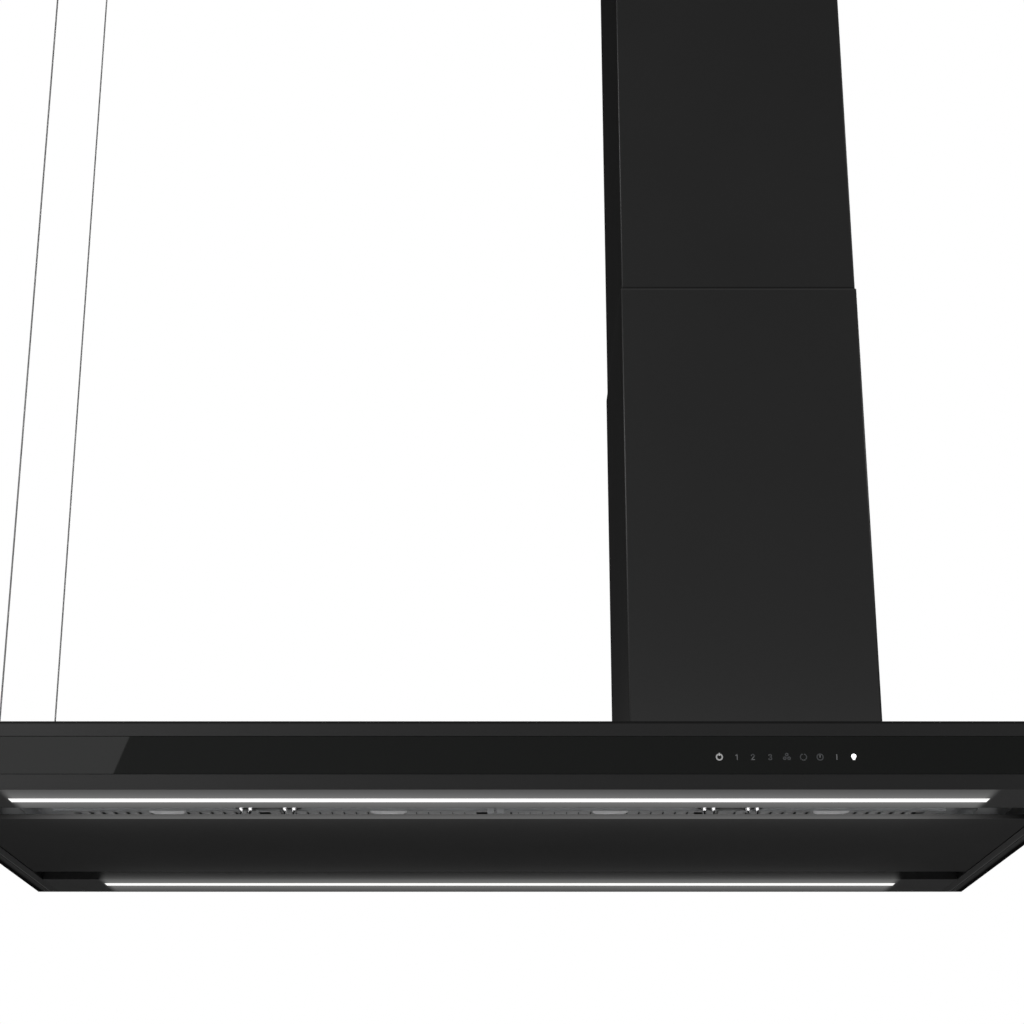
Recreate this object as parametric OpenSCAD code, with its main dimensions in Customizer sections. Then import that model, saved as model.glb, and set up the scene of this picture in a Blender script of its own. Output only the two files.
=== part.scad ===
// Island range hood with a flat canopy, perimeter suction panel and a two-part chimney.
// Millimetres, +Z up. Origin: middle of the canopy footprint, level with the canopy's lower rim.
// Front is the -Y side.

/* [Canopy] */
// Width of the canopy (left to right)
hood_w = 1200; // [1100:10:1500]
// Depth of the canopy (front to back)
hood_d = 650; // [600:10:800]
// Height of the canopy body
hood_h = 70; // [64:1:90]
// Thickness of the canopy steel sheet
sheet = 1.2; // [0.8:0.1:2]
// Height of the glass control strip
glass_h = 39; // [30:1:42]
// Height of the steel band under the glass strip
band_h = 15.5; // [13:0.5:18]
// Width of the side flange seen from below
flange_w = 14; // [10:1:20]

/* [Underside] */
// Depth of each light bar
bar_d = 96; // [80:1:110]
// Width of each suction slot beside the panel
gap_w = 59; // [30:1:70]
// Height of the panel's folded edge
panel_h = 5; // [4:0.5:10]
// Length of each light diffuser
led_len = 1004; // [600:2:1080]
// Width of each light diffuser
led_w = 17; // [12:1:30]
// Distance from the canopy edge to the middle of the diffuser
led_in = 57; // [40:1:70]

/* [Filters] */
// Pitch of the four grease filters
filter_pitch = 242; // [200:1:242]
// Length of a filter, front to back
filter_len = 290; // [200:2:292]
// Thickness of a filter
filter_t = 9; // [6:0.5:9]

/* [Chimney] */
// Distance of the chimney's middle from the canopy's middle
chim_x = 279; // [0:1:400]
// Width of the lower cover
chim_w = 276; // [260:1:320]
// Depth of the lower cover
chim_d = 344; // [340:1:380]
// Height of the lower cover
lower_h = 555; // [450:5:700]
// Height of the ceiling above the canopy's lower rim
ceiling_z = 1270; // [1000:10:1500]
// How far the two covers overlap
lap = 40; // [20:5:80]

/* [Ducting] */
// Diameter of the outlet collar
duct_d = 150; // [120:1:150]

/* [Suspension] */
// Distance of the steel cables from the canopy's middle
cable_x = 552; // [450:1:570]
// Half the distance between the two cables
cable_y = 136.5; // [90:0.5:250]
// Diameter of a steel cable
cable_d = 2; // [1.5:0.5:4]

/* [Hidden] */
$fn = 48;
e = 0.01;
x1 = hood_w / 2;
y1 = hood_d / 2;
zb = 0.5;
rail_x1 = x1 - flange_w - 0.4;
rail_x0 = rail_x1 - 11.2;
bar_y = y1 - bar_d;
pan_y = bar_y - gap_w;
pan_x = rail_x0 - 1.4;
led_y = y1 - led_in;
tray_z = 31;
tray_y = bar_y + 16;
glass_z0 = band_h;
glass_z1 = band_h + glass_h;
fil_z = tray_z - filter_t;
fil_w = filter_pitch - 2;
fil_y = filter_len / 2;
fil_b = 24;
fil_c = [-1.5, -0.5, 0.5, 1.5];
end_x = 2 * filter_pitch + 36;
end_z = 15.5;
hinge_y = pan_y + 8;
hinge_z = 9;
stud_x = [-273, -226, 226, 273];
stud_y = -pan_y + 8;
prong = 5;
hinge_x = [-400, 400];
screw_x = [-540, -270, 0, 270, 540];
screw_y = bar_y + 8;
box_w = 214;
box_d = 290;
inlet_x = 94;
inlet_y = 132;
bolt_x = 101;
bolt_y = 80;
gland_x = chim_x - 119.5;
box_z0 = hood_h + 2;
box_z1 = 370;
fan_y = -37;
fan_z = 200;
col_r = duct_d / 2;
collar_z0 = box_z1 + 2.5;
flap_z = 400;
low_top = hood_h + lower_h;
upp_w = chim_w - 3;
upp_d = chim_d - 3;
fx = chim_w / 2 - 3.5;
fy = chim_d / 2 - 3.5;
foot_x = fx - 11;
foot_y = fy - 11;
join_z = [640, 680];
vent = 86;
elec_x = [-567, -489];
elec_y = [-112, 96];
elec_top = 60;
touch_x = 291;

// box from low corner to high corner
module bx(a, b) {
  translate(a) cube([b[0] - a[0], b[1] - a[1], b[2] - a[2]]);
}
// upright cylinder from z0 to z1
module cz(x, y, z0, z1, r) {
  translate([x, y, z0]) cylinder(r = r, h = z1 - z0);
}
// cylinder along X from xa to xb
module cx(xa, xb, y, z, r) {
  translate([xa, y, z]) rotate([0, 90, 0]) cylinder(r = r, h = xb - xa);
}
// cylinder along Y from ya to yb
module cy(x, ya, yb, z, r) {
  translate([x, ya, z]) rotate([-90, 0, 0]) cylinder(r = r, h = yb - ya);
}
// rectangle with round corners, centred
module rr2(w, d, r) {
  square([w - 2 * r, d], center = true);
  square([w, d - 2 * r], center = true);
  for (i = [-1, 1]) for (j = [-1, 1])
    translate([i * (w / 2 - r), j * (d / 2 - r)]) circle(r = r);
}
// square tube with round corners
module tube_rr(x, y, z0, z1, w, d, t, r) {
  translate([x, y, z0]) linear_extrude(z1 - z0) difference() {
    rr2(w, d, r);
    rr2(w - 2 * t, d - 2 * t, max(0.3, r - t));
  }
}
module mirror_y(on) {
  mirror([0, on ? 1 : 0, 0]) children();
}

// ---- canopy ----
module canopy_shell() {
  color([0.12, 0.12, 0.12]) difference() {
    bx([-x1, -y1, 0], [x1, y1, hood_h]);
    bx([-x1 + sheet, -y1 + sheet, sheet], [x1 - sheet, y1 - sheet, hood_h - sheet]);
    bx([-x1 + flange_w, -y1 + sheet, -1], [x1 - flange_w, y1 - sheet, 5]);
    bx([-x1 + sheet, -y1 - 1, glass_z0], [x1 - sheet, -y1 + 3, glass_z1]);
    bx([chim_x - inlet_x, -inlet_y, hood_h - 3], [chim_x + inlet_x, inlet_y, hood_h + 1]);
    for (i = [-1, 1]) for (j = [-1, 1]) {
      cz(chim_x + i * bolt_x, j * bolt_y, hood_h - 3, hood_h + 1, 2.6);
      cz(chim_x + i * foot_x, j * foot_y, hood_h - 3, hood_h + 1, 3.1);
    }
    for (j = [-1, 1]) cz(-cable_x, j * cable_y, hood_h - 3, hood_h + 1, 4.1);
    cz(gland_x, 0, hood_h - 3, hood_h + 1, 6.1);
  }
}
module front_channel() {
  color([0.3, 0.3, 0.3]) difference() {
    union() {
      bx([-x1 + 1.8, -y1 + 7.8, glass_z0 - 2.5], [x1 - 1.8, -y1 + 8.8, glass_z1 + 2.5]);
      bx([-x1 + 1.8, -y1 + sheet, glass_z1 + 1.5], [x1 - 1.8, -y1 + 8.8, glass_z1 + 2.5]);
      bx([-x1 + 1.8, -y1 + sheet, glass_z0 - 2.5], [x1 - 1.8, -y1 + 8.8, glass_z0 - 1.5]);
    }
    bx([touch_x - 60, -y1 + 5, glass_z0 + 9], [touch_x + 60, -y1 + 12, glass_z1 - 9]);
  }
}
module control_glass() {
  color([0.02, 0.02, 0.02])
    bx([-x1 + sheet + 0.2, -y1, glass_z0 + 0.2], [x1 - sheet - 0.2, -y1 + 4, glass_z1 - 0.2]);
}
module glass_gasket() {
  color([0.1, 0.1, 0.1]) difference() {
    bx([-x1 + 5, -y1 + 4, glass_z0 + 1.5], [x1 - 5, -y1 + 7.8, glass_z1 - 1.5]);
    bx([-x1 + 10, -y1 + 3, glass_z0 + 5.5], [x1 - 10, -y1 + 9, glass_z1 - 5.5]);
  }
}
module touch_board() {
  color([0.05, 0.3, 0.15]) {
    bx([touch_x - 78, -y1 + 4, glass_z0 + 6], [touch_x + 78, -y1 + 5.6, glass_z1 - 6]);
    for (i = [0:8])
      bx([touch_x - 70 + i * 17, -y1 + 5.6, 32], [touch_x - 66 + i * 17, -y1 + 6.8, 36]);
    bx([touch_x - 12, -y1 + 5.6, glass_z0 + 12], [touch_x + 12, -y1 + 12, glass_z1 - 18]);
  }
}
module side_rails() {
  color([0.15, 0.15, 0.15]) for (left = [0, 1]) mirror([left, 0, 0]) {
    bx([rail_x0, -y1 + 1.4, zb], [rail_x1, y1 - 1.4, zb + 1]);
    bx([rail_x0, -y1 + 10, zb], [rail_x0 + 1, y1 - 10, tray_z]);
    bx([rail_x1 - 1, -y1 + 1.4, zb], [rail_x1, y1 - 1.4, 12]);
  }
}
module light_bar(rear) {
  color([0.2, 0.2, 0.2]) mirror_y(rear) difference() {
    union() {
      bx([-rail_x0, -y1 + 1.4, zb], [rail_x0, -bar_y, zb + 1]);
      bx([-rail_x0, -bar_y - 1, zb], [rail_x0, -bar_y, tray_z]);
      bx([-rail_x0, -tray_y, tray_z - 1], [rail_x0, -bar_y, tray_z]);
      bx([-rail_x0, -y1 + 1.4, zb], [rail_x0, -y1 + 2.4, 12]);
    }
    bx([-led_len / 2 - 0.2, -led_y - led_w / 2 - 0.2, 0],
       [led_len / 2 + 0.2, -led_y + led_w / 2 + 0.2, 5]);
    for (x = screw_x) cz(x, -screw_y, tray_z - 3, tray_z + 2, 2.05);
  }
}
module led_profiles() {
  color([0.75, 0.75, 0.78]) for (rear = [false, true]) mirror_y(rear) difference() {
    bx([-led_len / 2 - 3, -led_y - led_w / 2 - 3, zb + 1],
       [led_len / 2 + 3, -led_y + led_w / 2 + 3, 18]);
    bx([-led_len / 2 - 1.5, -led_y - led_w / 2 - 1.5, 0],
       [led_len / 2 + 1.5, -led_y + led_w / 2 + 1.5, 16.5]);
  }
}
module led_boards() {
  color([0.9, 0.9, 0.85]) for (rear = [false, true]) mirror_y(rear) {
    bx([-led_len / 2 + 2, -led_y - 6, 14.9], [led_len / 2 - 2, -led_y + 6, 16.5]);
    for (i = [0:49])
      bx([-490 + i * 20 - 1.5, -led_y - 1.5, 14.1], [-490 + i * 20 + 1.5, -led_y + 1.5, 15]);
  }
}
module led_diffuser(rear) {
  color([1, 1, 1]) mirror_y(rear) {
    bx([-led_len / 2, -led_y - led_w / 2, 0.3], [led_len / 2, -led_y + led_w / 2, 4.5]);
    bx([-led_len / 2 - 1.2, -led_y - led_w / 2 - 1.2, zb + 1],
       [led_len / 2 + 1.2, -led_y + led_w / 2 + 1.2, 4.5]);
  }
}

// ---- filters ----
module filter_tray() {
  color([0.35, 0.35, 0.35]) difference() {
    bx([-rail_x0 - 1, -tray_y, tray_z], [rail_x0 + 1, tray_y, tray_z + 1]);
    for (c = fil_c)
      bx([c * filter_pitch - fil_w / 2 + 10, -fil_y + 10, tray_z - 1],
         [c * filter_pitch + fil_w / 2 - 10, fil_y - 10, tray_z + 2]);
    for (x = screw_x) for (j = [-1, 1])
      cz(x, j * screw_y, tray_z - 1, tray_z + 2, 2.05);
  }
}
module filter_rail_front() {
  yr = -fil_y - 3.5;
  w = 2 * filter_pitch;
  color([0.4, 0.4, 0.4]) difference() {
    union() {
      bx([-w, yr, 13.5], [w, yr + 1.2, tray_z]);
      bx([-w, yr, tray_z - 1.2], [w, -fil_y - 0.2, tray_z]);
      // two locating fingers for the panel
      for (x = [-9, 1]) {
        bx([x - 3.5, -pan_y + 3, 15], [x + 3.5, yr + 1.2, 16.2]);
        bx([x - 3.5, -pan_y + 3, 6.5], [x + 3.5, -pan_y + 4.2, 16.2]);
      }
    }
    for (c = fil_c)
      bx([c * filter_pitch - 10, yr - 1, 17.4], [c * filter_pitch + 10, yr + 3, 20.4]);
  }
}
module filter_rail_rear() {
  w = 2 * filter_pitch;
  color([0.4, 0.4, 0.4]) {
    bx([-end_x, fil_y + 0.3, fil_z - 1.2], [end_x, fil_y + 1.5, tray_z]);
    bx([-w, fil_y - 8, fil_z - 1.2], [w, fil_y + 1.5, fil_z]);
    // walls that close the chamber at both ends
    for (left = [0, 1]) mirror([left, 0, 0])
      bx([end_x - 1.2, -fil_y - 3.5, end_z], [end_x, fil_y + 1.5, tray_z]);
  }
}
module grease_filter(k) {
  c = fil_c[k] * filter_pitch;
  w = fil_w / 2;
  color([0.8, 0.8, 0.82]) {
    difference() {
      bx([c - w, -fil_y, fil_z], [c + w, fil_y, tray_z]);
      bx([c - w + 11, -fil_y + fil_b, fil_z - 1], [c + w - 11, fil_y - 11, tray_z + 1]);
      for (i = [-1, 1])
        bx([c + i * 13 - 2, -fil_y + 3, fil_z - 1], [c + i * 13 + 2, -fil_y + 9, fil_z + 3]);
    }
    for (i = [1:15])
      bx([c - w + 10 + i * 13.5 - 3, -fil_y + fil_b - 1, fil_z + 1],
         [c - w + 10 + i * 13.5 + 3, fil_y - 10, fil_z + 2.2]);
    for (i = [0:14])
      bx([c - w + 10 + i * 13.5 + 3.5, -fil_y + fil_b - 1, fil_z + 5],
         [c - w + 10 + i * 13.5 + 10, fil_y - 10, fil_z + 6.2]);
    for (j = [-1, 0, 1])
      bx([c - w + 10, j * 90 - 4, fil_z + 2], [c + w - 10, j * 90 + 4, fil_z + 5.2]);
  }
}
module filter_latch(k) {
  c = fil_c[k] * filter_pitch;
  z1 = fil_z - 0.2;
  color([0.7, 0.7, 0.72]) {
    bx([c - 9, -fil_y - 6, 17.9], [c + 9, -fil_y + 18, 19.9]);
    bx([c - 20, -fil_y + 14, 17.9], [c + 20, -fil_y + 18, z1]);
    difference() {
      cz(c, -fil_y + 18, 16.4, z1, 20);
      cz(c, -fil_y + 18, 15, z1 - 1.2, 18.6);
      bx([c - 30, -fil_y - 20, 10], [c + 30, -fil_y + 16, 30]);
    }
  }
}

// ---- suction panel ----
module suction_panel() {
  color([0.1, 0.1, 0.1]) difference() {
    bx([-pan_x, -pan_y, zb], [pan_x, pan_y, zb + panel_h]);
    bx([-pan_x + 1.2, -pan_y + 1.2, zb + 1.2], [pan_x - 1.2, pan_y - 1.2, zb + panel_h + 1]);
  }
}
module panel_stiffeners() {
  zt = zb + panel_h;
  color([0.3, 0.3, 0.3]) {
    for (y = [-80, 0, 80]) difference() {
      bx([-pan_x + 12, y - 20, zb + 1.2], [pan_x - 12, y + 20, zt - 0.2]);
      bx([-pan_x + 10, y - 12, zb + 1], [pan_x - 10, y + 12, zt - 1.2]);
      for (s = [-1, 1])
        bx([-pan_x + 10, y + s * 17 - 4, zb + 2.2], [pan_x - 10, y + s * 17 + 4, zt + 1]);
    }
  }
}
module panel_studs() {
  color([0.9, 0.9, 0.9]) for (x = stud_x) {
    bx([x - prong - 3, stud_y - 4, zb + 1.2], [x + prong + 3, stud_y + 4, zb + 2.4]);
    for (i = [-1, 1]) {
      cz(x + i * prong, stud_y, zb + 2.4 - e, 12, 2.1);
      cz(x + i * prong, stud_y, 12 - e, 20, 2.6);
      cz(x + i * prong, stud_y, 20 - e, 22, 1.7);
      cz(x + i * prong, stud_y, 22 - e, 25, 2.6);
    }
  }
}
module catch_sockets() {
  color([0.15, 0.15, 0.15]) for (s = [-1, 1]) difference() {
    bx([s * 249.5 - 35, stud_y - 11, 14.5], [s * 249.5 + 35, stud_y + 10.5, tray_z]);
    for (x = stud_x) for (i = [-1, 1]) cz(x + i * prong, stud_y, 14, 28, 4.6);
    bx([s * 249.5 - 12, stud_y - 9, 14], [s * 249.5 + 12, stud_y + 8.5, 29]);
  }
}
module hinge_brackets() {
  color([0.6, 0.6, 0.6]) for (x = hinge_x) difference() {
    union() {
      cx(x - 10, x + 10, hinge_y, hinge_z, 3);
      bx([x - 10, hinge_y - 0.6, hinge_z + 1], [x + 10, hinge_y + 0.6, tray_z]);
      bx([x - 10, hinge_y - 0.6, tray_z - 1.2], [x + 10, hinge_y + 18, tray_z]);
    }
    cx(x - 12, x + 12, hinge_y, hinge_z, 1.55);
  }
}
module hinge_leaves() {
  color([0.6, 0.6, 0.6]) for (x = hinge_x) difference() {
    union() {
      for (s = [-1, 1]) {
        bx([x + s * 17.6 - 7.2, pan_y - 22, zb + panel_h], [x + s * 17.6 + 7.2, hinge_y, zb + panel_h + 1.2]);
        cx(x + s * 17.6 - 7.2, x + s * 17.6 + 7.2, hinge_y, hinge_z, 3);
      }
      bx([x - 24.8, pan_y - 30, zb + panel_h], [x + 24.8, pan_y - 8, zb + panel_h + 1.2]);
    }
    cx(x - 30, x + 30, hinge_y, hinge_z, 1.5);
  }
}
module hinge_pins() {
  color([0.85, 0.85, 0.85]) for (x = hinge_x) {
    cx(x - 26, x + 26, hinge_y, hinge_z, 1.48);
    for (s = [-1, 1]) cx(x + s * 26 - 1, x + s * 26 + 1, hinge_y, hinge_z, 2.4);
  }
}
module tray_screws() {
  color([0.7, 0.7, 0.7]) for (x = screw_x) for (j = [-1, 1]) {
    cz(x, j * screw_y, tray_z - 6, tray_z + 2, 2);
    difference() {
      cz(x, j * screw_y, tray_z + 1, tray_z + 3.4, 4);
      bx([x - 3, j * screw_y - 0.5, tray_z + 2.2], [x + 3, j * screw_y + 0.5, 40]);
    }
  }
}

// ---- blower ----
module blower_gasket() {
  color([0.1, 0.1, 0.1]) difference() {
    bx([chim_x - box_w / 2, -box_d / 2, hood_h], [chim_x + box_w / 2, box_d / 2, box_z0]);
    bx([chim_x - inlet_x, -inlet_y, hood_h - 1], [chim_x + inlet_x, inlet_y, box_z0 + 1]);
    for (i = [-1, 1]) for (j = [-1, 1])
      cz(chim_x + i * bolt_x, j * bolt_y, hood_h - 3, box_z0 + 1, 2.6);
  }
}
module blower_box() {
  w = box_w / 2;
  d = box_d / 2;
  color([0.65, 0.66, 0.68]) difference() {
    bx([chim_x - w, -d, box_z0], [chim_x + w, d, box_z1]);
    bx([chim_x - w + 1.2, -d + 1.2, box_z0 + 1.2], [chim_x + w - 1.2, d - 1.2, box_z1 - 1.2]);
    bx([chim_x - inlet_x, -inlet_y, box_z0 - 1], [chim_x + inlet_x, inlet_y, box_z0 + 5]);
    cz(chim_x, 0, box_z1 - 3, box_z1 + 1, col_r + 0.2);
    for (i = [-1, 1]) for (j = [-1, 1])
      cz(chim_x + i * bolt_x, j * bolt_y, box_z0 - 1, box_z0 + 3, 2.6);
  }
}
module blower_bolts() {
  color([0.7, 0.7, 0.7]) for (i = [-1, 1]) for (j = [-1, 1]) {
    cz(chim_x + i * bolt_x, j * bolt_y, hood_h - 8, box_z0 + 2, 2.5);
    translate([chim_x + i * bolt_x, j * bolt_y, box_z0 + 1.2]) cylinder(r = 4.3, h = 3.4, $fn = 6);
    translate([chim_x + i * bolt_x, j * bolt_y, hood_h - 5.2]) cylinder(r = 4.6, h = 4, $fn = 6);
  }
}
// spiral outline of the fan housing, grown by g, from xa to xb
module spiral(g, xa, xb) {
  a = 86;
  s = 7;
  translate([0, fan_y, fan_z]) {
    intersection() {
      cx(xa, xb, 0, 0, a + g);
      bx([xa - 1, -200, 0], [xb + 1, 200, 200]);
    }
    intersection() {
      cx(xa, xb, s, 0, a + s + g);
      bx([xa - 1, -200, -200], [xb + 1, s, 0]);
    }
    intersection() {
      cx(xa, xb, s, s, a + 2 * s + g);
      bx([xa - 1, s - e, -200], [xb + 1, 200, s]);
    }
    bx([xa, 36 - g, -e], [xb, a + 3 * s + g, 130]);
  }
}
module fan_scroll() {
  xa = chim_x - 75;
  xb = chim_x + 75;
  color([0.85, 0.85, 0.83]) difference() {
    union() {
      spiral(2.5, xa, xb);
      bx([chim_x - 78, -78, 328], [chim_x + 78, 78, box_z1 - 1.2]);
    }
    spiral(0, xa + 2.5, xb - 2.5);
    bx([chim_x - 75.5, -75.5, 330.5], [chim_x + 75.5, 75.5, box_z1]);
    cx(xa - 5, xb + 5, fan_y, fan_z, 65);
  }
}
module motor_bracket() {
  xb = chim_x + 75;
  color([0.6, 0.6, 0.62]) difference() {
    union() {
      difference() {
        cx(xb, xb + 3, fan_y, fan_z, 78);
        cx(xb - 1, xb + 4, fan_y, fan_z, 66);
      }
      for (a = [0, 120, 240]) translate([xb, fan_y, fan_z]) rotate([a, 0, 0])
        bx([0, -6, 14], [3, 6, 70]);
      cx(xb, xb + 3, fan_y, fan_z, 20);
    }
    cx(xb - 1, xb + 5, fan_y, fan_z, 5);
  }
}
module motor() {
  color([0.5, 0.5, 0.52]) difference() {
    union() {
      cx(chim_x + 8, chim_x + 70, fan_y, fan_z, 44);
      cx(chim_x + 69, chim_x + 75, fan_y, fan_z, 14);
      cx(chim_x + 5, chim_x + 9, fan_y, fan_z, 12);
    }
    cx(chim_x, chim_x + 60, fan_y, fan_z, 4.05);
  }
}
module motor_shaft() {
  color([0.85, 0.85, 0.87]) cx(chim_x - 22, chim_x + 58, fan_y, fan_z, 4);
}
module impeller() {
  color([0.3, 0.3, 0.32]) difference() {
    union() {
      cx(chim_x - 1, chim_x + 1, fan_y, fan_z, 80);
      cx(chim_x - 18, chim_x + 4, fan_y, fan_z, 12);
      for (s = [-1, 1]) difference() {
        cx(chim_x + s * 62 - 2, chim_x + s * 62 + 2, fan_y, fan_z, 80);
        cx(chim_x + s * 62 - 3, chim_x + s * 62 + 3, fan_y, fan_z, 66);
      }
      for (k = [0:35]) translate([chim_x, fan_y, fan_z]) rotate([k * 10, 0, 0])
        translate([0, 0, 67]) rotate([28, 0, 0]) bx([-61, -0.6, 0], [61, 0.6, 11.5]);
    }
    cx(chim_x - 30, chim_x + 10, fan_y, fan_z, 4.02);
  }
}
module outlet_collar() {
  color([0.2, 0.2, 0.2]) difference() {
    cz(chim_x, 0, collar_z0, 440, col_r);
    cz(chim_x, 0, collar_z0 - 5, 445, col_r - 2);
    cy(chim_x, -col_r - 5, col_r + 5, flap_z, 1.52);
  }
}
module collar_flange() {
  color([0.2, 0.2, 0.2]) difference() {
    cz(chim_x, 0, box_z1, collar_z0, col_r + 14);
    cz(chim_x, 0, box_z1 - 1, box_z1 + 4, col_r - 2);
    for (a = [45:90:315])
      translate([chim_x, 0, 0]) rotate([0, 0, a]) cz(col_r + 8, 0, box_z1 - 1, box_z1 + 4, 1.8);
  }
}
module damper_flap(s) {
  ys = s < 0 ? [-52, 20] : [-16, 56];
  color([0.25, 0.25, 0.25]) translate([chim_x, 0, flap_z]) difference() {
    union() {
      intersection() {
        cz(0, 0, -0.6, 0.6, col_r - 3.2);
        bx([s < 0 ? -80 : 3.6, -80, -2], [s < 0 ? -3.6 : 80, 80, 2]);
      }
      for (y = ys) {
        cy(0, y - 14, y + 14, 0, 3);
        bx([s < 0 ? -5 : 0, y - 14, -0.6], [s < 0 ? 0 : 5, y + 14, 0.6]);
      }
    }
    cy(0, -80, 80, 0, 1.58);
  }
}
module damper_pin() {
  color([0.85, 0.85, 0.85]) cy(chim_x, -col_r + 0.4, col_r - 0.4, flap_z, 1.5);
}

// ---- electrics ----
module electronics_box() {
  color([0.9, 0.9, 0.88]) difference() {
    bx([elec_x[0], elec_y[0], tray_z + 1], [elec_x[1], elec_y[1], elec_top]);
    bx([elec_x[0] + 1.6, elec_y[0] + 1.6, tray_z + 2.6],
       [elec_x[1] - 1.6, elec_y[1] - 1.6, elec_top + 1]);
    cx(elec_x[1] - 6, elec_x[1] + 9, 40, 47, 5);
  }
}
module electronics_lid() {
  color([0.85, 0.85, 0.83]) {
    bx([elec_x[0], elec_y[0], elec_top], [elec_x[1], elec_y[1], elec_top + 1.6]);
    difference() {
      bx([elec_x[0] + 1.8, elec_y[0] + 1.8, elec_top - 3],
         [elec_x[1] - 1.8, elec_y[1] - 1.8, elec_top + e]);
      bx([elec_x[0] + 3, elec_y[0] + 3, elec_top - 4],
         [elec_x[1] - 3, elec_y[1] - 3, elec_top]);
    }
  }
}
module control_board() {
  color([0.05, 0.3, 0.15]) {
    bx([-562, -106, 38], [-494, 90, 39.6]);
    bx([-555, -95, 39.6 - e], [-525, -55, 54]);
    bx([-555, -40, 39.6 - e], [-537, -22, 52]);
    bx([-555, -15, 39.6 - e], [-537, 3, 52]);
    bx([-520, -95, 39.6 - e], [-500, 60, 43]);
    for (y = [-100, 84]) bx([-560, y - 2, tray_z + 2.6], [-496, y + 2, 38 + e]);
    for (y = [20, 40, 60]) cz(-545, y, 39.6 - e, 52, 6);
  }
}
module led_driver() {
  color([0.92, 0.92, 0.92]) {
    bx([498, -96, tray_z + 1], [562, 60, 56]);
    bx([510, -108, tray_z + 1], [550, -96 + e, 36]);
    bx([510, 60 - e, tray_z + 1], [550, 72, 36]);
  }
}
module run_capacitor() {
  color([0.8, 0.8, 0.82]) {
    cy(530, 88, 150, tray_z + 17, 16);
    cy(530, 150 - e, 154, tray_z + 17, 10);
    bx([522, 154 - e, tray_z + 14], [524, 162, tray_z + 20]);
    bx([536, 154 - e, tray_z + 14], [538, 162, tray_z + 20]);
  }
}
module mains_gland() {
  color([0.15, 0.15, 0.15]) difference() {
    union() {
      cz(gland_x, 0, hood_h - 8, hood_h + 16, 6);
      translate([gland_x, 0, hood_h]) cylinder(r = 9, h = 5, $fn = 6);
      cz(gland_x, 0, hood_h + 9, hood_h + 18, 8);
      translate([gland_x, 0, hood_h - 5.2]) cylinder(r = 9, h = 4, $fn = 6);
    }
    cz(gland_x, 0, hood_h - 20, hood_h + 30, 3.8);
  }
}

// ---- chimney and frame ----
module chimney_lower() {
  color([0.12, 0.12, 0.12]) tube_rr(chim_x, 0, hood_h, low_top, chim_w, chim_d, 1, 2.5);
}
module chimney_upper() {
  color([0.12, 0.12, 0.12])
    tube_rr(chim_x, 0, low_top - lap, ceiling_z - 0.5, upp_w, upp_d, 1, 2);
}
module upright(z0, z1, a, w, i, j) {
  x = a;
  y = a + (fy - fx);
  translate([chim_x, 0, 0]) mirror([i < 0 ? 1 : 0, 0, 0]) mirror([0, j < 0 ? 1 : 0, 0]) {
    bx([x - w, y - 2, z0], [x, y, z1]);
    bx([x - 2, y - w, z0], [x, y, z1]);
  }
}
module frame_lower() {
  color([0.7, 0.7, 0.72]) difference() {
    union() {
      for (i = [-1, 1]) for (j = [-1, 1]) {
        upright(hood_h, 720, fx, 20, i, j);
        translate([chim_x, 0, 0]) mirror([i < 0 ? 1 : 0, 0, 0]) mirror([0, j < 0 ? 1 : 0, 0])
          bx([fx - 20, fy - 20, hood_h], [fx, fy, hood_h + 2]);
      }
      for (j = [-1, 1])
        bx([chim_x - fx, j * (fy - 1) - 1, 480], [chim_x + fx, j * (fy - 1) + 1, 505]);
      for (i = [-1, 1])
        bx([chim_x + i * (fx - 1) - 1, -fy, 480], [chim_x + i * (fx - 1) + 1, fy, 505]);
    }
    for (i = [-1, 1]) for (j = [-1, 1]) {
      cz(chim_x + i * foot_x, j * foot_y, hood_h - 1, hood_h + 4, 3.1);
      for (z = join_z) cx(chim_x + i * fx - 5, chim_x + i * fx + 5, j * foot_y, z, 2.05);
    }
  }
}
module frame_upper() {
  color([0.7, 0.7, 0.72]) difference() {
    union() {
      for (i = [-1, 1]) for (j = [-1, 1]) upright(600, ceiling_z - 1, fx - 2.05, 18, i, j);
      bx([chim_x - fx + 2, -fy + 2, ceiling_z - 3], [chim_x + fx - 2, fy - 2, ceiling_z]);
      for (j = [-1, 1])
        bx([chim_x - fx + 3, j * (fy - 3.1) - 1, 900], [chim_x + fx - 3, j * (fy - 3.1) + 1, 925]);
      for (i = [-1, 1])
        bx([chim_x + i * (fx - 3.1) - 1, -fy + 3, 900], [chim_x + i * (fx - 3.1) + 1, fy - 3, 925]);
    }
    bx([chim_x - vent, -vent, ceiling_z - 5], [chim_x + vent, vent, ceiling_z + 1]);
    for (i = [-1, 1]) for (j = [-1, 1]) {
      cz(chim_x + i * 95, j * 130, ceiling_z - 5, ceiling_z + 1, 4.25);
      for (z = join_z) cx(chim_x + i * fx - 6, chim_x + i * fx + 6, j * foot_y, z, 2.05);
    }
  }
}
module frame_fasteners() {
  color([0.7, 0.7, 0.7]) for (i = [-1, 1]) for (j = [-1, 1]) {
    cz(chim_x + i * foot_x, j * foot_y, hood_h - 8, hood_h + 3, 3);
    translate([chim_x + i * foot_x, j * foot_y, hood_h + 2]) cylinder(r = 5, h = 4, $fn = 6);
    translate([chim_x + i * foot_x, j * foot_y, hood_h - 6.2]) cylinder(r = 5.4, h = 5, $fn = 6);
    translate([chim_x, 0, 0]) mirror([i < 0 ? 1 : 0, 0, 0]) mirror([0, j < 0 ? 1 : 0, 0])
      for (z = join_z) {
        cx(fx - 7, fx, foot_y, z, 2);
        cx(fx - 7.6, fx - 4.05, foot_y, z, 3.6);
      }
  }
}

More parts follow.
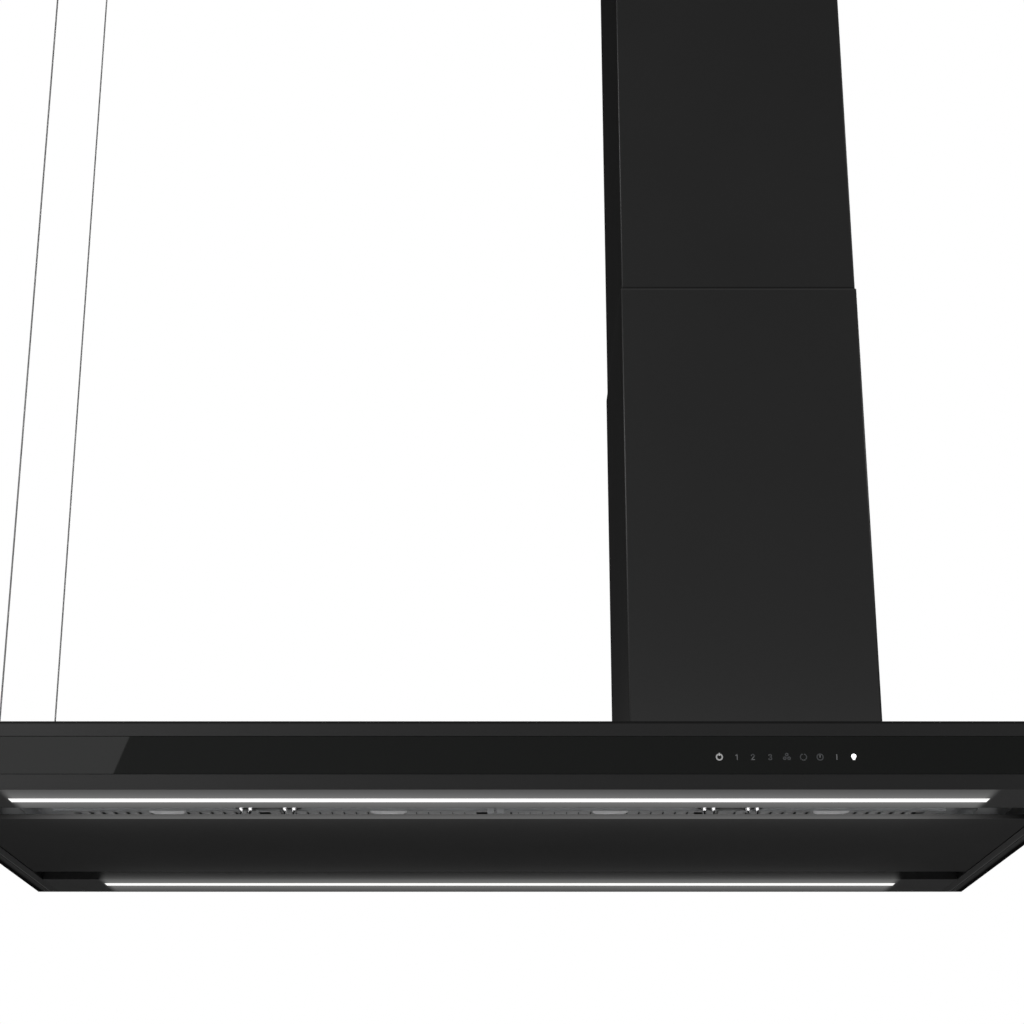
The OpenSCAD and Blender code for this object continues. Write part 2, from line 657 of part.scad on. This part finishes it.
// ---- suspension ----
module suspension_cable(j) {
  color([0.7, 0.7, 0.72]) cz(-cable_x, j * cable_y, 74, ceiling_z - 8, cable_d / 2);
}
module cable_grippers() {
  color([0.75, 0.75, 0.77]) for (j = [-1, 1]) {
    difference() {
      union() {
        cz(-cable_x, j * cable_y, hood_h - 10, hood_h + 1, 4);
        cz(-cable_x, j * cable_y, hood_h, 92, 7.5);
        translate([-cable_x, j * cable_y, hood_h - 6.2]) cylinder(r = 7.4, h = 5, $fn = 6);
      }
      cz(-cable_x, j * cable_y, 74, 95, cable_d / 2 + 0.05);
      cz(-cable_x, j * cable_y, 80, 95, 4.1);
    }
    difference() {
      cz(-cable_x, j * cable_y, ceiling_z - 20, ceiling_z, 16);
      cz(-cable_x, j * cable_y, ceiling_z - 16, ceiling_z - 2, 12);
      cz(-cable_x, j * cable_y, ceiling_z - 22, ceiling_z - 10, cable_d / 2 + 0.05);
      cz(-cable_x + 8, j * cable_y, ceiling_z - 5, ceiling_z + 1, 2.1);
    }
    difference() {
      cz(-cable_x, j * cable_y, ceiling_z - 16, ceiling_z - 10, 3);
      cz(-cable_x, j * cable_y, ceiling_z - 18, ceiling_z - 8, cable_d / 2 + 0.05);
    }
  }
}
module gripper_sleeve(j) {
  color([0.8, 0.8, 0.82]) difference() {
    union() {
      cz(-cable_x, j * cable_y, 84, 97, 4.02);
      cz(-cable_x, j * cable_y, 96, 99, 5.5);
    }
    cz(-cable_x, j * cable_y, 80, 100, cable_d / 2 + 0.15);
  }
}

canopy_shell();
front_channel();
control_glass();
glass_gasket();
touch_board();
side_rails();
light_bar(false);  // light_bar_front
light_bar(true);  // light_bar_rear
led_profiles();
led_boards();
led_diffuser(false);  // led_diffuser_front
led_diffuser(true);  // led_diffuser_rear
filter_tray();
filter_rail_front();
filter_rail_rear();
grease_filter(0);  // grease_filter_1
grease_filter(1);  // grease_filter_2
grease_filter(2);  // grease_filter_3
grease_filter(3);  // grease_filter_4
filter_latch(0);  // filter_latch_1
filter_latch(1);  // filter_latch_2
filter_latch(2);  // filter_latch_3
filter_latch(3);  // filter_latch_4
suction_panel();
panel_stiffeners();
panel_studs();
catch_sockets();
hinge_brackets();
hinge_leaves();
hinge_pins();
tray_screws();
blower_gasket();
blower_box();
blower_bolts();
fan_scroll();
motor_bracket();
motor();
motor_shaft();
impeller();
outlet_collar();
collar_flange();
damper_flap(-1);  // damper_flap_left
damper_flap(1);  // damper_flap_right
damper_pin();
electronics_box();
electronics_lid();
control_board();
led_driver();
run_capacitor();
mains_gland();
chimney_lower();
chimney_upper();
frame_lower();
frame_upper();
frame_fasteners();
suspension_cable(-1);  // suspension_cable_front
suspension_cable(1);  // suspension_cable_rear
cable_grippers();
gripper_sleeve(-1);  // gripper_sleeve_front
gripper_sleeve(1);  // gripper_sleeve_rear
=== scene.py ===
import math

import bpy
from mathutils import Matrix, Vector


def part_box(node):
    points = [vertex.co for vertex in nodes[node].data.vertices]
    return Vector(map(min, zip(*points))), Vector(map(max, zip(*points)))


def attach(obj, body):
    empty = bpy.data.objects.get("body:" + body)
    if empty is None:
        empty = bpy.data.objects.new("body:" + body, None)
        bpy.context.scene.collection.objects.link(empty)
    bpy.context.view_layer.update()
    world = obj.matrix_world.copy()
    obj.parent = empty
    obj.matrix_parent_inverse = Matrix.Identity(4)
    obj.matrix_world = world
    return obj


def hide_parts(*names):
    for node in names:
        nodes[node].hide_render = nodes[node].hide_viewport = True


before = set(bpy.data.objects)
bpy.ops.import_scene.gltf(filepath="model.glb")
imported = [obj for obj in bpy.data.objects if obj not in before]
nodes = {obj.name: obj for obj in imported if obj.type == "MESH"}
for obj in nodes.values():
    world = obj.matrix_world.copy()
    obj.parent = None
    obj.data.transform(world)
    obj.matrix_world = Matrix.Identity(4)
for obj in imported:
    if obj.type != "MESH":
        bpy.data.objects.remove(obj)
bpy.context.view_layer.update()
scene = bpy.context.scene
scene.view_settings.view_transform = "Standard"
scene.view_settings.look = "None"


def mm(*values):
    """Millimetres as metres."""
    return tuple(v / 1000 for v in values)


def add(obj):
    """Puts a new object into the scene."""
    scene.collection.objects.link(obj)
    return obj


# ---------------------------------------------------------------- camera
# In front of the canopy and below it, looking up by the tilt, in degrees.
CAMERA_PLACE = mm(5, -2345.2, -419.5)
CAMERA_TILT = 18.597
CAMERA_LENS = 72.04
CAMERA_SHIFT = (0.008, 0.03)

cam = add(bpy.data.objects.new("camera", bpy.data.cameras.new("camera")))
cam.location = CAMERA_PLACE
cam.rotation_euler = (math.radians(90 + CAMERA_TILT), 0, 0)
cam.data.sensor_width = 36
cam.data.lens = CAMERA_LENS
cam.data.shift_x, cam.data.shift_y = CAMERA_SHIFT
cam.data.clip_start = 0.05
cam.data.clip_end = 60
scene.camera = cam

# ---------------------------------------------------------------- steel cables
# Straight up from each gripper to its ceiling fitting, as in part.scad, in millimetres.
CABLE_X, CABLE_Y = -552, 136.5
CABLE_FOOT, CABLE_HEAD = 74, 1262
CABLE_POINTS = 20
# metres
CABLE_D = 0.002


def steel_cable(label, y):
    curve = bpy.data.curves.new("cable_" + label, "CURVE")
    curve.dimensions = "3D"
    line = curve.splines.new("POLY")
    line.points.add(CABLE_POINTS - 1)
    for i, point in enumerate(line.points):
        z = CABLE_FOOT + (CABLE_HEAD - CABLE_FOOT) * i / (CABLE_POINTS - 1)
        point.co = (*mm(CABLE_X, y, z), 1)
        # The points carry the radius, because a curve's box reaches out by it.
        point.radius = CABLE_D / 2
    curve.bevel_depth = 1
    curve.bevel_resolution = 6
    curve.use_fill_caps = True
    cable = add(bpy.data.objects.new("cable_" + label, curve))
    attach(cable, "hood")
    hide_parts("suspension_cable_" + label)
    return cable


cables = [steel_cable("front", -CABLE_Y), steel_cable("rear", CABLE_Y)]


# ---------------------------------------------------------------- node helpers
# the specular level of plain powder coat
COAT_SHEEN = 0.5


def rgb(r, g=None, b=None):
    """A colour, or a grey where only one value is given."""
    return (r, r if g is None else g, r if b is None else b, 1)


def tint(base, factor):
    """The colour made darker or lighter, up to 1."""
    return rgb(*[min(1, c * factor) for c in base])


class Nodes:
    """Short calls that add nodes to a tree."""

    def __init__(self, tree):
        self.tree = tree

    def new(self, kind, **values):
        node = self.tree.nodes.new(kind)
        for key, value in values.items():
            setattr(node, key, value)
        return node

    def link(self, a, b):
        self.tree.links.new(a, b)

    def calc(self, operation, *values):
        node = self.new("ShaderNodeMath", operation=operation)
        for socket, value in zip(node.inputs, values):
            if isinstance(value, (int, float)):
                socket.default_value = value
            else:
                self.link(value, socket)
        return node.outputs[0]

    def times(self, first, *others):
        for other in others:
            first = self.calc("MULTIPLY", first, other)
        return first

    def remap(self, value, lo, hi, to_lo=0.0, to_hi=1.0, kind="LINEAR"):
        """lo to hi becomes to_lo to to_hi, and goes no further."""
        node = self.new("ShaderNodeMapRange", interpolation_type=kind)
        node.inputs["From Min"].default_value = lo
        node.inputs["From Max"].default_value = hi
        node.inputs["To Min"].default_value = to_lo
        node.inputs["To Max"].default_value = to_hi
        self.link(value, node.inputs["Value"])
        return node.outputs["Result"]

    def split(self, coordinate):
        """The x, y and z of a texture coordinate."""
        place = self.new("ShaderNodeTexCoord")
        parts = self.new("ShaderNodeSeparateXYZ")
        self.link(place.outputs[coordinate], parts.inputs["Vector"])
        return parts.outputs["X"], parts.outputs["Y"], parts.outputs["Z"]


class Mat(Nodes):
    """A material of one Principled shader. Lengths are in metres."""

    def __init__(self, name):
        self.material = bpy.data.materials.new(name)
        self.material.use_nodes = True
        super().__init__(self.material.node_tree)
        self.inputs = self.tree.nodes["Principled BSDF"].inputs

    def set(self, **values):
        for key, value in values.items():
            self.inputs[key.replace("_", " ")].default_value = value

    def fade(self, distance, length):
        """1 at no distance, falling by a factor of e over each length."""
        return self.calc("POWER", math.e, self.times(distance, -1 / length))

    def smooth(self, value, lo, hi):
        """0 at lo, 1 at hi, with soft ends."""
        return self.remap(value, lo, hi, kind="SMOOTHSTEP")

    def coords(self, scale=(1, 1, 1)):
        place = self.new("ShaderNodeTexCoord")
        mapping = self.new("ShaderNodeMapping")
        mapping.inputs["Scale"].default_value = scale
        self.link(place.outputs["Object"], mapping.inputs["Vector"])
        return mapping.outputs["Vector"]

    def noise(self, vector, scale, detail=2.0):
        node = self.new("ShaderNodeTexNoise")
        node.inputs["Scale"].default_value = scale
        node.inputs["Detail"].default_value = detail
        self.link(vector, node.inputs["Vector"])
        return node.outputs["Fac"]

    def colour(self, factor, a, b):
        """The base colour, from a to b."""
        node = self.new("ShaderNodeMix", data_type="RGBA")
        self.link(factor, node.inputs["Factor"])
        node.inputs["A"].default_value = a
        node.inputs["B"].default_value = b
        self.link(node.outputs["Result"], self.inputs["Base Color"])

    def rough(self, factor, lo, hi):
        self.link(self.remap(factor, 0.0, 1.0, lo, hi), self.inputs["Roughness"])

    def bump(self, height, strength, distance):
        node = self.new("ShaderNodeBump")
        node.inputs["Strength"].default_value = strength
        node.inputs["Distance"].default_value = distance
        self.link(height, node.inputs["Height"])
        self.link(node.outputs["Normal"], self.inputs["Normal"])

    def lit(self, strength, colour=(1, 1, 1, 1)):
        """The same light from the whole surface."""
        self.set(Emission_Color=colour, Emission_Strength=strength)

    def painted_glow(self, strength):
        """Painted light that changes over the surface."""
        self.set(Emission_Color=(1, 1, 0.99, 1))
        self.link(strength, self.inputs["Emission Strength"])

    def paint_shade_by_dulling(self, amount):
        """Paints shade by taking the sheen away where the amount is 1."""
        sheen = self.times(self.calc("SUBTRACT", 1.0, amount), COAT_SHEEN)
        self.link(sheen, self.inputs["Specular IOR Level"])


# ---------------------------------------------------------------- plain finishes
def powder(name, base, rough, sheen=COAT_SHEEN):
    """Powder coat: a fine orange peel and a slow change of sheen."""
    m = Mat(name)
    place = m.coords()
    m.colour(m.noise(place, 3.0), rgb(base * 0.92), rgb(base * 1.08))
    m.rough(m.noise(place, 6.0, 3.0), rough - 0.04, rough + 0.04)
    m.bump(m.noise(place, 900, 1.0), 0.06, 0.0002)
    m.set(Specular_IOR_Level=sheen)
    return m


def metal(name, base, rough, scale, stretch=(1, 1, 1), spread=0.06, relief=0.05):
    m = Mat(name)
    place = m.coords(stretch)
    m.colour(m.noise(place, scale, 3.0), tint(base, 0.9), tint(base, 1.06))
    m.rough(m.noise(place, scale), rough - spread, rough + spread)
    m.bump(m.noise(place, scale), relief, 0.0001)
    m.set(Metallic=1.0)
    return m


def plastic(name, base, rough, grain=1500, relief=0.08):
    m = Mat(name)
    place = m.coords()
    m.colour(m.noise(place, 8.0), tint(base, 0.94), tint(base, 1.06))
    m.rough(m.noise(place, 20.0), rough - 0.04, rough + 0.04)
    m.bump(m.noise(place, grain, 1.0), relief, 0.0002)
    return m


def strip_glass():
    """Black glass, almost a mirror."""
    m = Mat("strip_glass")
    place = m.coords()
    m.colour(m.noise(place, 2.0), rgb(0.004, 0.0048, 0.0042), rgb(0.005, 0.0058, 0.005))
    m.rough(m.noise(place, 4.0), 0.008, 0.018)
    m.set(Specular_IOR_Level=0.25)
    return m


def lit_opal():
    """The diffusers' plastic with the light on."""
    m = Mat("lit_opal")
    m.colour(m.noise(m.coords(), 40.0), rgb(0.86, 0.87, 0.88), rgb(0.9))
    m.set(Roughness=0.4)
    m.lit(0.92, (1, 0.99, 0.97, 1))
    return m


def cable_strand():
    """Steel wire rope: its strands run round it at a slant."""
    m = Mat("cable_strand")
    wave = m.new("ShaderNodeTexWave", bands_direction="DIAGONAL")
    wave.inputs["Scale"].default_value = 5.0
    m.link(m.coords((400, 400, 160)), wave.inputs["Vector"])
    m.colour(wave.outputs["Fac"], rgb(0.26), rgb(0.42))
    m.bump(wave.outputs["Fac"], 0.5, 0.0002)
    m.set(Metallic=1.0, Roughness=0.35)
    return m


def symbol_ink(name, low, high, strength, colour=(1, 1, 1, 1)):
    """Print that is lit from behind."""
    m = Mat(name)
    m.colour(m.noise(m.coords(), 50.0), rgb(low), rgb(high))
    m.set(Roughness=0.4)
    m.lit(strength, colour)
    return m


# ---------------------------------------------------------------- the black coats, with painted shade and painted light
# Where the coats' painted shade and painted light change, in metres from the frame's middle and
# its underside.
CANOPY_X, _, CANOPY_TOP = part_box("canopy_shell")[1]
RAIL_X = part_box("side_rails")[1].x
COVER_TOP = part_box("chimney_lower")[1].z
PANEL_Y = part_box("suction_panel")[1].y
LED_Y = sum(corner.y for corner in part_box("led_diffuser_rear")) / 2
# the painted glow beside the diffusers fades out from here, near their ends
LED_END = 0.494


def canopy_coat():
    """Dark coat with painted shade: the sheen is taken off a band along the top edge and under
    the sides, where the rolled edges would turn away from the light.
    """
    m = powder("black_coat", 0.011, 0.36)
    x, _, z = m.split("Object")
    top = m.times(m.smooth(z, CANOPY_TOP - 0.0032, CANOPY_TOP - 0.0018), 0.75)
    side = m.smooth(m.calc("ABSOLUTE", x), CANOPY_X - 0.014, CANOPY_X - 0.006)
    under = m.times(side, m.smooth(z, 0.0012, 0.0004))
    m.paint_shade_by_dulling(m.calc("MAXIMUM", top, under))
    return m


def rail_coat():
    """Dark coat with a painted highlight: a thin glowing line along the rail's outer edge, at
    its underside.
    """
    m = powder("rail_coat", 0.008, 0.4, sheen=0.3)
    x, _, z = m.split("Object")
    highlight_line = m.smooth(m.calc("ABSOLUTE", x), RAIL_X - 0.002, RAIL_X - 0.0012)
    m.painted_glow(m.times(highlight_line, m.smooth(z, 0.003, 0.001), 0.028))
    return m


def lower_cover_coat():
    """Cover coat with painted light: a glow, stronger lower down, for the light that comes back
    from the canopy's top, and a painted highlight along the rim's top edge.
    """
    m = powder("cover_coat", 0.0105, 0.38)
    z = m.split("Object")[2]
    bounce_glow = m.times(m.fade(m.calc("SUBTRACT", z, 0.1), 0.09), 0.0085)
    rim_highlight = m.times(m.smooth(z, COVER_TOP - 0.0022, COVER_TOP - 0.0012), 0.010)
    m.painted_glow(m.calc("ADD", bounce_glow, rim_highlight))
    return m


def upper_cover_coat():
    """Cover coat with the thin shadow of the joint just above the lower cover."""
    m = powder("upper_cover_coat", 0.0105, 0.38)
    z = m.split("Object")[2]
    m.paint_shade_by_dulling(m.times(m.smooth(z, COVER_TOP + 0.0034, COVER_TOP + 0.0022), 0.6))
    return m


def bar_coat():
    """Dark coat, with a painted glow along the metal beside each diffuser, for the light that
    the diffuser throws there.
    """
    m = powder("bar_coat", 0.02, 0.42, sheen=0.3)
    x, y, z = m.split("Object")
    away = m.calc("ABSOLUTE", m.calc("SUBTRACT", m.calc("ABSOLUTE", y), LED_Y))
    ends = m.smooth(m.calc("ABSOLUTE", x), LED_END + 0.012, LED_END)
    m.painted_glow(m.times(m.fade(away, 0.045), m.fade(z, 0.005), ends, 0.22))
    return m


def panel_coat():
    """Darker coat, with painted light on the front fold and along the margins, for the light of
    the diffusers.
    """
    m = powder("panel_coat", 0.005, 0.34, sheen=0.14)
    x, y, z = m.split("Object")
    ends = m.smooth(m.calc("ABSOLUTE", x), 0.57, 0.4)
    inward = m.calc("SUBTRACT", PANEL_Y, m.calc("ABSOLUTE", y))
    margin_glow = m.times(m.fade(inward, 0.045), 0.014)
    fold_highlight = m.times(m.smooth(y, 0.0015 - PANEL_Y, 0.0005 - PANEL_Y), m.fade(z, 0.010), 0.12)
    m.painted_glow(m.times(m.calc("ADD", margin_glow, fold_highlight), ends))
    return m


# ---------------------------------------------------------------- which node wears what
galvanised = metal("galvanised", (0.5, 0.51, 0.52), 0.42, 60)
zinc = metal("zinc", (0.6, 0.6, 0.58), 0.3, 200)
chrome = metal("chrome", (0.85, 0.85, 0.86), 0.08, 30, spread=0.02, relief=0.01)
profile_alu = metal("profile_alu", (0.7, 0.71, 0.72), 0.3, 120, stretch=(0.1, 6, 6))
shaft_steel = metal("shaft_steel", (0.62, 0.62, 0.63), 0.2, 200)
motor_metal = metal("motor_metal", (0.42, 0.43, 0.44), 0.45, 250)
# a faint even glow is painted on the filters and their latches, for the diffusers' scattered
# light
filter_alu = metal("filter_alu", (0.42, 0.425, 0.43), 0.38, 90, stretch=(1, 8, 1))
filter_alu.lit(0.018)
satin_steel = metal("satin_steel", (0.86, 0.86, 0.87), 0.48, 150)
satin_steel.lit(0.1)
foam = plastic("foam_seal", (0.012, 0.012, 0.012), 0.85, grain=700, relief=0.4)
black_plastic = plastic("black_plastic", (0.014, 0.014, 0.014), 0.45)
grey_plastic = plastic("grey_plastic", (0.24, 0.24, 0.24), 0.5)
light_plastic = plastic("light_plastic", (0.6, 0.6, 0.57), 0.45)
green_board = plastic("green_board", (0.012, 0.11, 0.045), 0.35)
white_board = plastic("white_board", (0.8, 0.8, 0.77), 0.4)
strand = cable_strand()

WEARERS = {
    canopy_coat(): ["canopy_shell"],
    rail_coat(): ["side_rails"],
    lower_cover_coat(): ["chimney_lower"],
    upper_cover_coat(): ["chimney_upper"],
    bar_coat(): ["light_bar_front", "light_bar_rear"],
    panel_coat(): ["suction_panel"],
    strip_glass(): ["control_glass"],
    lit_opal(): ["led_diffuser_front", "led_diffuser_rear"],
    strand: ["suspension_cable_front", "suspension_cable_rear"],
    galvanised: [
        "front_channel", "filter_tray", "filter_rail_front", "filter_rail_rear",
        "panel_stiffeners", "hinge_brackets", "hinge_leaves", "blower_box",
        "motor_bracket", "frame_lower", "frame_upper",
    ],
    zinc: ["tray_screws", "blower_bolts", "frame_fasteners"],
    chrome: ["panel_studs", "cable_grippers", "gripper_sleeve_front", "gripper_sleeve_rear"],
    profile_alu: ["led_profiles", "run_capacitor"],
    shaft_steel: ["hinge_pins", "motor_shaft", "damper_pin"],
    motor_metal: ["motor"],
    filter_alu: ["grease_filter_%d" % k for k in range(1, 5)],
    satin_steel: ["filter_latch_%d" % k for k in range(1, 5)],
    foam: ["glass_gasket", "blower_gasket"],
    black_plastic: [
        "impeller", "outlet_collar", "collar_flange", "damper_flap_left",
        "damper_flap_right", "mains_gland",
    ],
    grey_plastic: ["catch_sockets"],
    light_plastic: ["fan_scroll", "electronics_box", "electronics_lid", "led_driver"],
    green_board: ["touch_board", "control_board"],
    white_board: ["led_boards"],
}
LOOK = {name: mat for mat, names in WEARERS.items() for name in names}

# Nodes whose edges are rounded, under the width of the rounding in millimetres.
ROUNDED = {
    0.2: ["chimney_lower", "chimney_upper"],
    0.25: ["control_glass"],
    0.3: ["canopy_shell", "light_bar_front", "light_bar_rear", "side_rails"],
    0.4: [
        "led_diffuser_front", "led_diffuser_rear", "gripper_sleeve_front",
        "gripper_sleeve_rear", "outlet_collar", "electronics_lid", "mains_gland",
        "panel_studs",
    ],
    0.5: ["suction_panel", "cable_grippers"],
    0.6: ["catch_sockets"],
    0.8: ["run_capacitor"],
    1.5: ["motor"],
}
# Edges flatter than this angle stay as they are, and points nearer than this are one, in metres.
ROUND_OVER = math.radians(50)
WELD_WITHIN = 0.000005


def round_edges(obj, width):
    weld = obj.modifiers.new("weld", "WELD")
    weld.merge_threshold = WELD_WITHIN
    bevel = obj.modifiers.new("bevel", "BEVEL")
    bevel.width = width / 1000
    bevel.segments = 2
    bevel.limit_method = "ANGLE"
    bevel.angle_limit = ROUND_OVER
    bevel.harden_normals = True


for name, obj in nodes.items():
    obj.data.materials.clear()
    obj.data.materials.append(LOOK[name].material)
for width, names in ROUNDED.items():
    for name in names:
        round_edges(nodes[name], width)
for cable in cables:
    cable.data.materials.append(strand.material)

# ---------------------------------------------------------------- touch symbols
# Millimetres. The symbols lie just in front of the glass, round one height.
SYMBOL_Y = -325.15
SYMBOL_Z = 33.0
SYMBOL_THICK = 0.15


def flat_piece(name, verts, faces, mat):
    mesh = bpy.data.meshes.new(name)
    mesh.from_pydata([mm(*v) for v in verts], [], faces)
    mesh.materials.append(mat.material)
    obj = add(bpy.data.objects.new(name, mesh))
    solid = obj.modifiers.new("thick", "SOLIDIFY")
    solid.thickness = SYMBOL_THICK / 1000
    solid.offset = 0
    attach(obj, "hood")


def strokes(name, x, lines, mat, width):
    """A symbol of bands that follow lines of points, given across and up from its middle."""
    verts, faces = [], []
    for points in lines:
        for (ax, az), (bx, bz) in zip(points, points[1:]):
            dx, dz = bx - ax, bz - az
            half = width / 2 / (math.hypot(dx, dz) or 1)
            # half a width along the stroke, and half a width across it
            ex, ez = dx * half, dz * half
            ox, oz = -ez, ex
            first = len(verts)
            for px, pz in (
                (ax - ex + ox, az - ez + oz),
                (bx + ex + ox, bz + ez + oz),
                (bx + ex - ox, bz + ez - oz),
                (ax - ex - ox, az - ez - oz),
            ):
                verts.append((x + px, SYMBOL_Y, SYMBOL_Z + pz))
            faces.append(tuple(range(first, first + 4)))
    flat_piece(name, verts, faces, mat)


def arc(r, a0, a1, n=20, cx=0.0, cz=0.0):
    """Points from angle a0 to a1, in degrees, round (cx, cz)."""
    angles = [math.radians(a0 + (a1 - a0) * i / n) for i in range(n + 1)]
    return [(cx + r * math.cos(a), cz + r * math.sin(a)) for a in angles]


dim = symbol_ink("symbol_lit", 0.1, 0.12, 0.045, (0.92, 0.95, 1, 1))
bright = symbol_ink("symbol_bright", 0.3, 0.34, 0.22)
brightest = symbol_ink("symbol_lamp_lit", 0.7, 0.8, 0.7)

hub = [(2.5 * math.cos(a), 2.5 * math.sin(a)) for a in map(math.radians, (90, 210, 330))]
blades = [arc(1.2, 0, 360, 12, x, z) for x, z in hub]
two = arc(1.4, 170, -30, 10, 0, 1.3) + [(-1.5, -2.6), (1.6, -2.6)]
three = arc(1.3, 150, -90, 10, 0, 1.3) + arc(1.4, 90, -150, 10, 0, -1.3)
dial = [arc(3.1, 115, 215), arc(3.1, -35, 65), arc(3.1, 250, 290, 6)]
bulb = [arc(1.9, -50, 230, 18, 0, 0.8), arc(0.6, 0, 360, 12, 0, 0.8)]
cap = [[(-1.2, -1.6), (1.2, -1.6)], [(-0.7, -2.5), (0.7, -2.5)]]

strokes("symbol_power", 221.6, [arc(2.9, 120, 420), [(0, 1.9), (0, 3.6)]], bright, 1.3)
strokes("symbol_1", 239.2, [[(-0.9, 1.7), (0.3, 2.6), (0.3, -2.6)]], dim, 0.9)
strokes("symbol_2", 255.3, [two], dim, 0.9)
strokes("symbol_3", 272.6, [three], dim, 0.9)
strokes("symbol_fan", 289.4, blades, dim, 1.0)
strokes("symbol_timer", 306.1, dial, dim, 1.0)
strokes("symbol_clock", 322.8, [arc(3.0, 0, 360, 28), [(0, 1.6), (0, 0)]], dim, 1.1)
strokes("symbol_dot", 339.6, [[(0, -2.3), (0, 2.3)]], dim, 1.1)
strokes("symbol_lamp", 356.7, bulb + cap, brightest, 1.0)

# ---------------------------------------------------------------- floor
FLOOR_Z, FLOOR_HALF, FLOOR_REACH = -0.9, 3.0, 14.0
FLOOR_STEPS = 96


def floor(name, verts, faces, mat):
    mesh = bpy.data.meshes.new(name)
    mesh.from_pydata(verts, [], faces)
    mesh.materials.append(mat.material)
    obj = add(bpy.data.objects.new(name, mesh))
    return obj


def floors():
    """A square under the object, and the rest of the floor around it out to a circle.

    Only the square is mirrored in the dark metal.
    """
    m = Mat("floor")
    m.colour(m.noise(m.coords(), 0.6), rgb(0.84), rgb(0.86))
    m.set(Roughness=0.9, Specular_IOR_Level=0.1)
    inner, outer, quads = [], [], []
    for i in range(FLOOR_STEPS):
        c, s = math.cos(math.tau * i / FLOOR_STEPS), math.sin(math.tau * i / FLOOR_STEPS)
        k = FLOOR_HALF / max(abs(c), abs(s))
        inner.append((k * c, k * s, FLOOR_Z))
        outer.append((FLOOR_REACH * c, FLOOR_REACH * s, FLOOR_Z))
        after = (i + 1) % FLOOR_STEPS
        quads.append((i, FLOOR_STEPS + i, FLOOR_STEPS + after, after))
    floor("floor", inner, [tuple(range(FLOOR_STEPS))], m)
    floor("floor_around", inner + outer, quads, m).visible_glossy = False


floors()


# ---------------------------------------------------------------- lights
def soft_light(name, place, aim, watts, width, height=None):
    """A disk, or a rectangle where it has a height, that shines from place towards aim."""
    data = bpy.data.lights.new(name, "AREA")
    data.shape = "RECTANGLE" if height else "DISK"
    data.size = width
    if height:
        data.size_y = height
    data.energy = watts
    obj = add(bpy.data.objects.new(name, data))
    obj.location = place
    obj.rotation_euler = (Vector(aim) - Vector(place)).to_track_quat("-Z", "Y").to_euler()
    obj.visible_camera = False
    return obj


MIDDLE = (0, 0, 0.3)
soft_light("key", (-2.6, -3.4, 2.8), MIDDLE, 60, 1.6)
soft_light("fill", (3.2, -2.2, 2.2), MIDDLE, 25, 1.6)
soft_light("back", (2.6, 3.2, 2.6), MIDDLE, 24, 1.6)
# the light that the diffusers scatter into the suction slots
soft_light("front_slot", mm(0, -221, 1), mm(0, -140, 20), 0.08, 1.14, 0.012)
soft_light("plenum", mm(0, -15, 9), mm(0, -100, 22), 0.016, 1.14, 0.012)
soft_light("rear_slot", mm(0, 221, 9), mm(0, 0, 40), 0.12, 1.05, 0.012)
# a softbox behind the camera, on the left, mirrored in the left end of the glass strip
softbox = soft_light("softbox", mm(-1712, -4500, 1249), mm(-1712, 0, 1249), 6.0, 1.2, 1.4)
# it leans, so that its edge in the glass is slanted
softbox.rotation_euler.y = math.radians(20.3)

# ---------------------------------------------------------------- world
# Brightness along each axis, from 0, its negative end, to 1, its positive end.
WORLD_X = [(0.0, 1.25), (0.38, 1.2), (0.5, 0.95), (0.62, 0.75), (1.0, 0.9)]
WORLD_Y = [(0.0, 1.0), (0.4, 0.8), (0.6, 0.2), (0.9, 0.075), (1.0, 0.06)]
WORLD_Z = [
    (0.0, 0.06), (0.44, 0.07), (0.56, 0.66), (0.62, 0.6), (0.68, 0.4), (0.78, 0.2), (1.0, 0.3),
]


def ramp(tree, value, stops):
    node = tree.new("ShaderNodeValToRGB")
    elements = node.color_ramp.elements
    for element, (place, level) in zip(elements, (stops[0], stops[-1])):
        element.position = place
        element.color = rgb(level)
    for place, level in stops[1:-1]:
        elements.new(place).color = rgb(level)
    tree.link(value, node.inputs["Fac"])
    return node.outputs["Color"]


def studio_world():
    """Plain white to the camera, and a studio's soft light to the object."""
    world = bpy.data.worlds.new("studio")
    scene.world = world
    world.use_nodes = True
    world.node_tree.nodes.clear()
    tree = Nodes(world.node_tree)
    out = tree.new("ShaderNodeOutputWorld")
    mix = tree.new("ShaderNodeMixShader")
    seen = tree.new("ShaderNodeBackground")
    seen.inputs["Color"].default_value = rgb(1)
    around = tree.new("ShaderNodeBackground")
    x, y, z = [tree.remap(axis, -1, 1) for axis in tree.split("Generated")]
    level = tree.times(ramp(tree, z, WORLD_Z), ramp(tree, x, WORLD_X), ramp(tree, y, WORLD_Y))
    tree.link(level, around.inputs["Strength"])
    tree.link(tree.new("ShaderNodeLightPath").outputs["Is Camera Ray"], mix.inputs["Fac"])
    tree.link(around.outputs["Background"], mix.inputs[1])
    tree.link(seen.outputs["Background"], mix.inputs[2])
    tree.link(mix.outputs["Shader"], out.inputs["Surface"])


studio_world()
